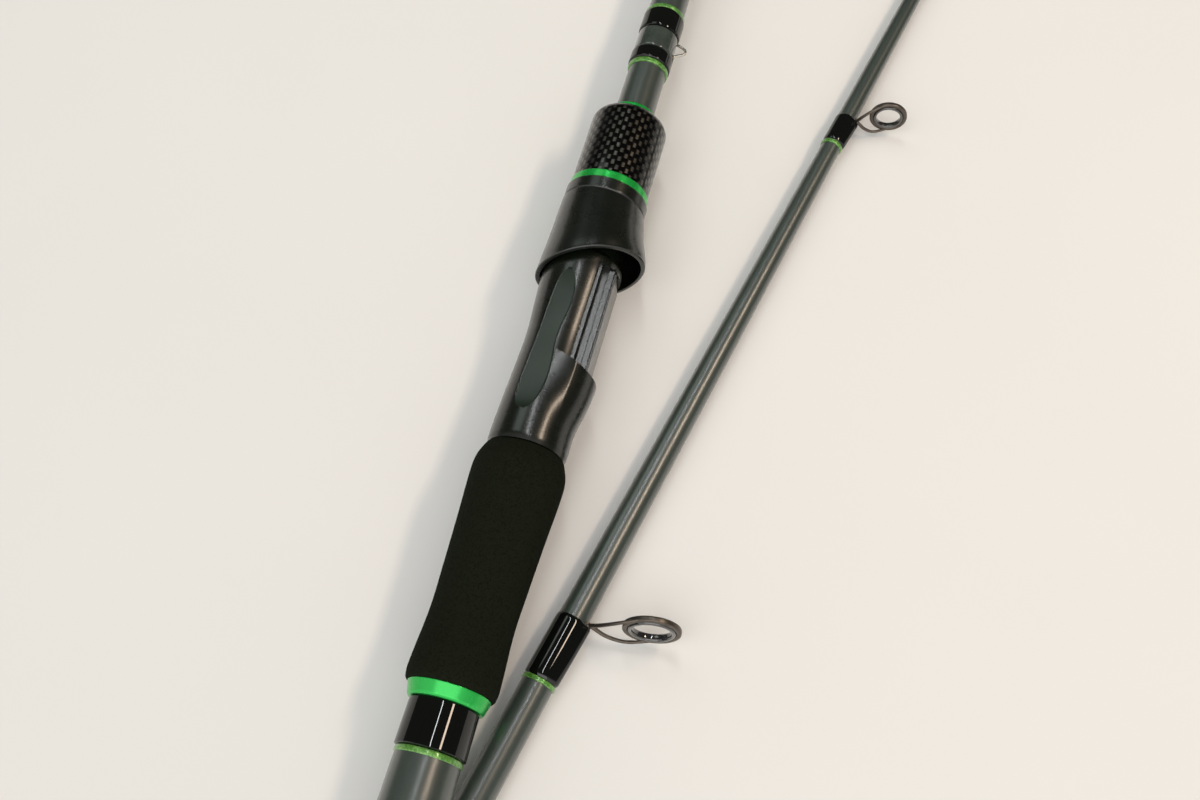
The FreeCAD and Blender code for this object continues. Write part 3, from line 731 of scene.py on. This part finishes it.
def make_seat_body():
    count = round(360 / COLUMN)
    rings = []
    for row, behind_lip in seat_rows():
        ring = []
        for j in range(count):
            column = COLUMN * j if COLUMN * j <= 180 else COLUMN * j - 360
            reach = LIP_RADIUS * max(0.0, math.cos(math.radians(column)))
            shift = LIP_SLOPE * reach * slant_at(row)
            y = max(SEAT_START, row - shift) if row < BARREL_FRONT - 1 else row
            angle = column_angle(column, y) if y < SEAT_NECK else column
            theta = math.radians(angle)
            ease = END_EASE.get(row, 0.0) * (lip_share(theta) if row == LIP_ROW else 1.0)
            radius = seat_radius(y, column, angle, behind_lip) - ease
            ring.append((radius * math.cos(theta), y, radius * math.sin(theta)))
        rings.append(ring)
    rings += [circle(y, SEAT_BORE, count) for y in (BARREL_FRONT, SEAT_START)]
    body = skin("seat_shell", rings, BUTT, "seat", loop=True, sharp=28.0)
    paint_window(body)
    blocks = [("platform_bar", 8.2, 10.15, PLATFORM_FRONT, PLATFORM_HALF, 0.2),
              ("platform_pad", 9.8, PLATFORM_TOP, PLATFORM_FRONT - 0.5, PLATFORM_HALF - 0.5, 0.15),
              ("platform_stem", 4.5, 8.6, PLATFORM_FRONT + 2.0, PLATFORM_HALF - 1.0, 0.1)]
    whole = join("seat_body", [body] + [platform_block(*block) for block in blocks])
    finish_piece(whole, "butt_section", "seat_plastic", "reel_seat_body")


def paint_window(body):
    """Gives the faces inside the palm window their own material, which carries a painted reflection in
    its colour.
    """
    body.data.materials.append(LOOKS["window"])
    for polygon in body.data.polygons:
        x, y, z = polygon.center / MM
        if WINDOW[0] < y < WINDOW[1] and math.hypot(x, z) > 9.0:
            right, left = window_limits(y)
            if right < math.degrees(math.atan2(z, x)) < left:
                polygon.material_index = 1


def platform_block(name, x0, x1, front, half, bevel):
    """A bar with rounded edges, from the back of the platform to front."""
    outline = rounded([(x0, -half), (x1, -half), (x1, half), (x0, half)], bevel)
    insets = [(bevel, 0.0), (bevel * 0.3, 0.3 * bevel), (0.0, bevel), (0.0, 1.0)]
    rows = [(PLATFORM_BACK + step, inset) for inset, step in insets]
    rows += [(front - step, inset) for inset, step in reversed(insets)]
    middle = (x0 + x1) / 2
    rings = []
    for y, inset in rows:
        scale_x = 1 - inset * 2 / (x1 - x0)
        scale_z = 1 - inset / half
        rings.append([(middle + (x - middle) * scale_x, y, z * scale_z) for x, z in outline])
    return skin(name, rings, BUTT, "seat", caps=True, sharp=35.0)


def hood_ring(y, centre, radius, slant, least=0.0, count=192):
    """A ring of the moving hood: a circle, kept at least this far from the axis.

    slant is how far the ring follows the leaning mouth.
    """
    ring = []
    for j in range(count):
        theta = TURN * j / count
        x, z = centre + radius * math.cos(theta), radius * math.sin(theta)
        push = max(1.0, least / math.hypot(x, z))
        ring.append((x * push, y + slant * MOUTH_SLOPE * (x - MOUTH_CENTRE), z * push))
    return ring


def hood_slant(y):
    return max(0.0, 1.0 - (y - MOUTH) / 15.0) ** 1.2


def make_moving_hood():
    centres = [(MOUTH, MOUTH_CENTRE), (346.0, 1.85), (350.0, 1.6), (355.0, 1.1), (360.0, 0.5),
               (HOOD_FRONT, 0.0)]
    radii = [(MOUTH, MOUTH_RADIUS), (346.0, 15.1), (350.0, 14.6), (355.0, 13.95), (360.0, 13.3),
             (HOOD_FRONT, 12.7)]
    inner_centres = [(MOUTH, 2.1), (348.0, 2.1), (355.0, 1.5), (HOOD_SHOULDER, 0.5)]
    inner_radii = [(MOUTH, 13.75), (348.0, 13.3), (355.0, 12.1), (HOOD_SHOULDER, 11.1)]
    ease, skirt = 0.35, MOUTH + 0.8
    rings = [hood_ring(MOUTH, MOUTH_CENTRE, MOUTH_RADIUS - ease, 1.0)]
    for share in (0.12, 0.45, 1.0):
        y = MOUTH + ease * share
        radius = MOUTH_RADIUS - ease * (1 - (y - MOUTH) / ease) ** 2
        rings.append(hood_ring(y, MOUTH_CENTRE, radius, 1.0))
    for y in steps(skirt, HOOD_FRONT - 0.3, 46):
        rings.append(hood_ring(y, smooth_at(centres, y), smooth_at(radii, y), hood_slant(y)))
    rings += [hood_ring(y, 0.0, radius, 0.0)
              for y, radius in [(HOOD_FRONT, 12.45), (HOOD_FRONT, HOOD_BORE), (HOOD_SHOULDER, HOOD_BORE)]]
    for y in steps(HOOD_SHOULDER, skirt, 30):
        least = PALM_BORE if y < PALM_END else HOOD_BORE
        rings.append(hood_ring(y, smooth_at(inner_centres, y), smooth_at(inner_radii, y),
                               hood_slant(y), least))
    rings += [hood_ring(MOUTH + 0.3, 2.08, 13.8, 1.0, PALM_BORE),
              hood_ring(MOUTH, 2.05, 14.05, 1.0, PALM_BORE + 0.1)]
    hood = skin("hood_shell", rings, BUTT, "seat", loop=True, sharp=30.0)
    finish_piece(hood, "hood", "seat_plastic", "moving_hood")


def make_nut():
    bore, ease = BARREL_RADIUS + 0.25, 0.3
    body = [(NUT_BACK, bore), (NUT_BACK, COLLAR_RADIUS - ease), (NUT_BACK + 0.4, COLLAR_RADIUS),
            (COLLAR_FRONT, COLLAR_RADIUS), (COLLAR_FRONT, NUT_RADIUS), (SLEEVE_SHOULDER, NUT_RADIUS),
            (SLEEVE_SHOULDER, bore)]
    finish_piece(lathe("nut_body", body, BUTT, "seat", count=128, corner=0.18), "nut",
                 "seat_plastic", "lock_nut")
    trim = [(COLLAR_FRONT, NUT_RADIUS), (COLLAR_FRONT, 12.15), (TRIM_FRONT, 12.15),
            (TRIM_FRONT, NUT_RADIUS)]
    finish_piece(lathe("nut_ring", trim, BUTT, "green", count=128, corner=0.25), "nut",
                 "green_aluminium", "nut_trim_ring")
    face, crown = 7.5, 4.35
    full = face + crown
    sleeve = [(TRIM_FRONT, NUT_RADIUS), (TRIM_FRONT, full - 0.15), (TRIM_FRONT + 0.15, full)]
    sleeve += [(y, full) for y in steps(372.2, 394.7, 12)]
    sleeve += [(SLEEVE_SHOULDER + (SLEEVE_FRONT - SLEEVE_SHOULDER) * math.sin(a),
                face + crown * math.cos(a)) for a in steps(0.06, 1.57, 14)]
    sleeve += [(SLEEVE_FRONT, 6.9), (397.6, 6.9), (395.8, 10.2), (SLEEVE_SHOULDER, NUT_RADIUS)]
    finish_piece(lathe("nut_sleeve", sleeve, BUTT, "carbon", count=128, corner=0), "nut",
                 "carbon_weave", "carbon_sleeve")
    nose = [(SLEEVE_FRONT, 6.5), (SLEEVE_FRONT, 7.15), (NOSE_FRONT - 0.4, 7.15), (NOSE_FRONT, 6.85),
            (NOSE_FRONT, 6.5)]
    finish_piece(lathe("nut_nose", nose, BUTT, "green", count=96, corner=0.12), "nut",
                 "green_aluminium", "nose_ring")


# ---------------------------------------------------------------- windings
def winding_outline(profile, start, end, thickness, ease=0.6):
    """Resin-covered winding: full in the middle, rounded down to the blank at both ends."""
    sunk = 0.15
    outline = [(start, value_at(profile, start) - sunk)]
    for y in steps(start, end, 26):
        edge = min(y - start, end - y)
        rise = math.sqrt(max(0.0, 1 - (1 - min(1.0, edge / ease)) ** 2))
        outline.append((y, value_at(profile, y) + 0.04 + (thickness - 0.04) * rise))
    outline.append((end, value_at(profile, end) - sunk))
    return outline


def make_winding(name, profile, place, start, end, thickness, look, ease=0.6):
    return lathe(name, winding_outline(profile, start, end, thickness, ease), place, look, corner=0)


BUTT_WINDINGS = [
    # name, start, end, thickness, look, slot, node
    ("band_rear", 196.0, 197.6, 0.3, "thread", "green_thread", "rear_trim_band"),
    ("wrap_rear", 197.6, 210.2, 0.75, "winding", "black_winding", "rear_winding"),
    ("wrap_ferrule", 1004.0, 1019.0, 0.35, "winding", "black_winding", "male_ferrule_winding"),
    ("band_ferrule", 1002.0, 1004.0, 0.4, "thread", "green_thread", "male_ferrule_band"),
    ("keeper_resin", 425.2, 433.4, 0.5, "resin", "clear_resin", "keeper_coat"),
]
TIP_WINDINGS = [
    ("wrap_socket", 0.5, 14.0, 0.3, "winding", "black_winding", "female_ferrule_winding"),
    ("band_socket", 14.0, 15.6, 0.3, "thread", "green_thread", "female_ferrule_band"),
    ("wrap_top", 1014.0, 1031.0, 0.3, "winding", "black_winding", "tip_top_winding"),
]


def make_windings(rows, profile, place, body):
    for name, start, end, thickness, look, slot, node in rows:
        piece = make_winding(name, profile, place, start, end, thickness, look)
        finish_piece(piece, body, slot, node)


def make_keeper_windings():
    """A winding over each end of the keeper wire, and a trim band outside each winding."""
    wraps = [make_winding("keeper_wrap", BUTT_BLANK, BUTT, a, b, 0.78, "winding")
             for a, b in [(420.2, 425.2), (433.4, 441.1)]]
    finish_piece(join("keeper_wraps", wraps), "butt_section", "black_winding", "keeper_windings")
    bands = [make_winding("keeper_band", BUTT_BLANK, BUTT, a, b, 0.5, "thread", 0.4)
             for a, b in [(418.5, 420.2), (441.1, 442.7)]]
    finish_piece(join("keeper_bands", bands), "butt_section", "green_thread", "keeper_trim_bands")


def make_keeper():
    """A bent wire: two feet along the blank and an eye that stands off it between them."""
    foot, eye = 6.45, 3.2
    points = [(foot, 421.0, 0), (foot, 424.5, 0), (foot, 426.8, 0), (foot + 0.7, 427.7, 0),
              (foot + 2.3, 428.6, 0), (foot + eye, 429.4, 0), (foot + eye, 430.5, 0),
              (foot + 2.3, 431.3, 0), (foot + 0.6, 432.1, 0), (foot, 433.0, 0),
              (foot, 436.5, 0), (foot, 439.5, 0)]
    wire = tube_along("keeper_wire", points, [0.42] * len(points), BUTT, "steel")
    finish_piece(wire, "butt_section", "guide_frame", "hook_keeper")


# ---------------------------------------------------------------- guides
def rim_sizes(outer):
    """Width and half depth of a metal rim of this outer radius."""
    return 0.55 + 0.11 * outer, 0.45 + 0.05 * outer


def leg_radius(outer):
    """Wire radius of the legs under a rim of this outer radius."""
    return 0.35 + 0.03 * outer


def ring_place(place, y, height):
    return place @ Matrix.Translation((height, y, 0)) @ Matrix.Rotation(GUIDE_LEAN, 4, "Z")


def squared(value):
    """Pushes a sine or cosine outwards, so that a circle becomes a little square."""
    return math.copysign(abs(value) ** 0.75, value)


def guide_ring(name, place, y, height, outer):
    """The hard ring the line runs through, its bore rounded like a torus."""
    rim, half = rim_sizes(outer)
    outside = outer - rim + 0.02
    inside = outside - (0.3 + 0.13 * outer)
    depth = half + 0.25
    middle, wide = (outside + inside) / 2, (outside - inside) / 2
    outline = [(depth * squared(math.sin(a)), middle + wide * squared(math.cos(a)))
               for a in steps(0.0, TURN, 32)[:-1]]
    return skin(name, [circle(v, r, 96) for v, r in outline], ring_place(place, y, height), "ceramic",
                loop=True)


def guide_rim(name, place, y, height, outer):
    rim, half = rim_sizes(outer)
    outline = rounded([(-half, outer - rim), (-half, outer), (half, outer), (half, outer - rim)],
                      min(rim, half) * 0.7)
    return skin(name, [circle(v, r, 96) for v, r in outline], ring_place(place, y, height), "metal",
                loop=True)


def sole(name, place, profile, root_y, length, leg):
    """Flat foot that tapers away from the legs, its edges rounded."""
    root_x = value_at(profile, root_y)
    rings = []
    for t in steps(0.0, 1.0, 10):
        y = root_y + leg - length * t
        high = leg * (1.5 - 1.0 * t)
        width = leg * 1.6 * (1.0 - 0.25 * t)
        rings.append([(root_x - 1.0 + (high + 1.0) * (0.5 + 0.5 * math.sin(a)), y,
                       width * math.cos(a)) for a in steps(0.0, TURN, 24)[:-1]])
    return skin(name, rings, place, "metal", caps=True)


def legs(name, place, profile, root_y, ring_y, height, outer):
    """Two wire legs from the foot to the flanks of the ring."""
    leg = leg_radius(outer)
    root_x = value_at(profile, root_y) + leg * 0.8
    rise, run, flank = height - root_x, ring_y - root_y, outer - leg
    made = []
    for side in (1, -1):
        points = [(root_x, root_y - leg, side * leg * 0.9),
                  (root_x + 0.06 * rise, root_y, side * leg * 1.1),
                  (root_x + 0.28 * rise, root_y + 0.02 * run, side * flank * 0.52),
                  (root_x + 0.58 * rise, root_y + 0.30 * run, side * flank * 0.88),
                  (height, ring_y, side * flank)]
        radii = [leg, leg, leg * 0.95, leg * 0.85, leg * 0.8]
        made.append(tube_along("%s_leg" % name, points, radii, place, "metal"))
    return made


def braces(name, place, profile, rear_y, ring_y, height, outer):
    """Two wires from the rear foot to the lower part of the ring."""
    leg = leg_radius(outer)
    rear_x = value_at(profile, rear_y) + leg * 0.8
    spread = 0.42 * outer
    drop = math.sqrt((outer - rim_sizes(outer)[0] / 2) ** 2 - spread ** 2)
    low_x, low_y = height - drop * math.cos(GUIDE_LEAN), ring_y - drop * math.sin(GUIDE_LEAN)
    made = []
    for side in (1, -1):
        points = [(rear_x, rear_y, side * leg),
                  ((rear_x + low_x) / 2 - 1.0, (rear_y + low_y) / 2 - 1.0, side * spread * 0.6),
                  (low_x, low_y, side * spread)]
        made.append(tube_along("%s_brace" % name, points, [leg, leg * 0.9, leg * 0.85], place,
                               "metal"))
    return made


def foot_winding(name, place, profile, start, end, leg):
    """Resin-covered thread over a foot: round below, raised over the foot, rounded at both ends."""
    count, ease = 96, 1.3
    rows = [(start, None)] + [(y, True) for y in steps(start, end, 34)] + [(end, None)]
    rings = []
    for y, shown in rows:
        blank = value_at(profile, y)
        t = (y - start) / (end - start)
        edge = min(y - start, end - y)
        rise = math.sqrt(max(0.0, 1 - (1 - min(1.0, edge / ease)) ** 2)) if shown else 0.0
        hump = (0.35 + (1.5 * leg + 0.05) * t ** 0.8) * rise
        ring = []
        for j in range(count):
            theta = TURN * j / count
            signed = theta if theta <= math.pi else theta - TURN
            over = math.exp(-(signed * blank / (2.1 * leg + 0.6)) ** 2)
            radius = blank + (0.05 + 0.33 * rise + hump * over if shown else -0.15)
            ring.append((radius * math.cos(theta), y, radius * math.sin(theta)))
        rings.append(ring)
    return skin(name, rings, place, "winding", loop=True)


def make_guides(guides, double, profile, place, body, prefix):
    """Frames, rings, windings and bands of these guides; double ones stand on two feet."""
    wraps, bands = [], []
    for name, root_y, height, outer, wrap_length in guides:
        leg = leg_radius(outer)
        ring_y = root_y + 3.7 + 0.088 * height
        metal = [guide_rim(name + "_metal", place, ring_y, height, outer)]
        metal += legs(name, place, profile, root_y, ring_y, height, outer)
        roots = [root_y]
        if double:
            roots.append(root_y - REAR_FOOT_REACH * height)
            metal += braces(name, place, profile, roots[1], ring_y, height, outer)
        for root in roots:
            metal.append(sole(name + "_sole", place, profile, root, wrap_length - 2.5, leg))
            start = root - wrap_length
            wraps.append(foot_winding(name + "_wrap", place, profile, start, root - leg * 0.5, leg))
            bands.append(make_winding(name + "_band", profile, place, start - 1.4, start, 0.4,
                                      "thread", 0.4))
        finish_piece(join(name + "_metal", metal), body, "guide_frame", name + "_frame")
        insert = guide_ring(name + "_insert", place, ring_y, height, outer)
        finish_piece(insert, body, "ceramic", name + "_ring")
    finish_piece(join(prefix + "_wraps", wraps), body, "black_winding", prefix + "_windings")
    finish_piece(join(prefix + "_bands", bands), body, "green_thread", prefix + "_trim_bands")


def make_tip_top():
    end = TIP_BLANK_END
    outer, height, ring_y = 3.4, 3.3, TIP_LENGTH - 1.0
    barrel = lathe("top_tube", [(end - 9.0, 0.9), (end - 9.0, 1.55), (end + 1.2, 1.55),
                                (end + 1.2, 0.3)], TIP, "metal", corner=0.15)
    metal = [barrel, guide_rim("top_rim", TIP, ring_y, height, outer)]
    for side in (1, -1):
        points = [(0.9, end - 7.0, side * 1.2), (1.3, end - 2.0, side * 2.2),
                  (height, ring_y, side * (outer - 0.4))]
        metal.append(tube_along("top_stay", points, [0.45] * 3, TIP, "metal"))
    finish_piece(join("tip_top_metal", metal), "tip_section", "guide_frame", "tip_top_frame")
    insert = guide_ring("tip_top_insert", TIP, ring_y, height, outer)
    finish_piece(insert, "tip_section", "ceramic", "tip_top_ring")


def dress_arbors():
    """The arbors keep their CAD shape and take the rubber look."""
    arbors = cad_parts["seat_arbors"]
    if not arbors.material_slots:
        arbors.data.materials.append(LOOKS["rubber"])
    for slot in arbors.material_slots:
        slot.material = LOOKS["rubber"]


# ---------------------------------------------------------------- whole scene
make_camera()
make_light()
make_floor()
make_blanks()
make_grips()
make_seat_body()
make_moving_hood()
make_nut()
make_windings(BUTT_WINDINGS, BUTT_BLANK, BUTT, "butt_section")
make_keeper_windings()
make_windings(TIP_WINDINGS, TIP_BLANK, TIP, "tip_section")
make_keeper()
make_guides(STRIPPERS, True, BUTT_BLANK, BUTT, "butt_section", "stripper")
make_guides(TIP_GUIDES, False, TIP_BLANK, TIP, "tip_section", "tip_guide")
make_tip_top()
dress_arbors()
